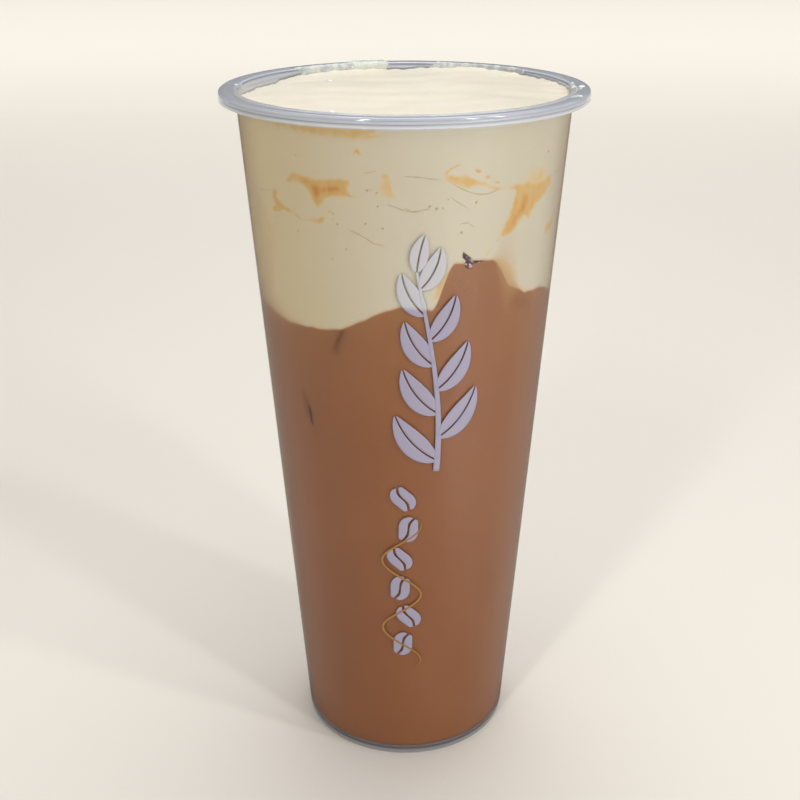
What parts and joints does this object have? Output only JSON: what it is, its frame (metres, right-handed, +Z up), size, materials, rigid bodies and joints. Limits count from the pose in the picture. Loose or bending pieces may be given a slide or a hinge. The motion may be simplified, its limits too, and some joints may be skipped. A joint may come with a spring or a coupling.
{
  "type": "sea salt coffee",
  "caption": "Milk coffee under a thick cap of salted cream, filled to the mouth of a tall tapered clear plastic cup with a flat sealing rim.",
  "frame": {"origin": "centre of the cup's foot, on the plane that the foot ring stands on", "axes": "+Z up along the cup's axis, towards its mouth; -Y is the front, +X to the right when the front is seen"},
  "size_m": [0.095, 0.095, 0.188],
  "materials": {
    "clear_plastic": "clear, glossy injection-moulded plastic",
    "milk_coffee": "opaque iced milk coffee",
    "salted_cream": "thick whipped salted cream with a soft sheen"
  },
  "bodies": {
    "root": {"cup": "clear_plastic", "milk_coffee": "milk_coffee", "cream_cap": "salted_cream"}
  },
  "joints": []
}
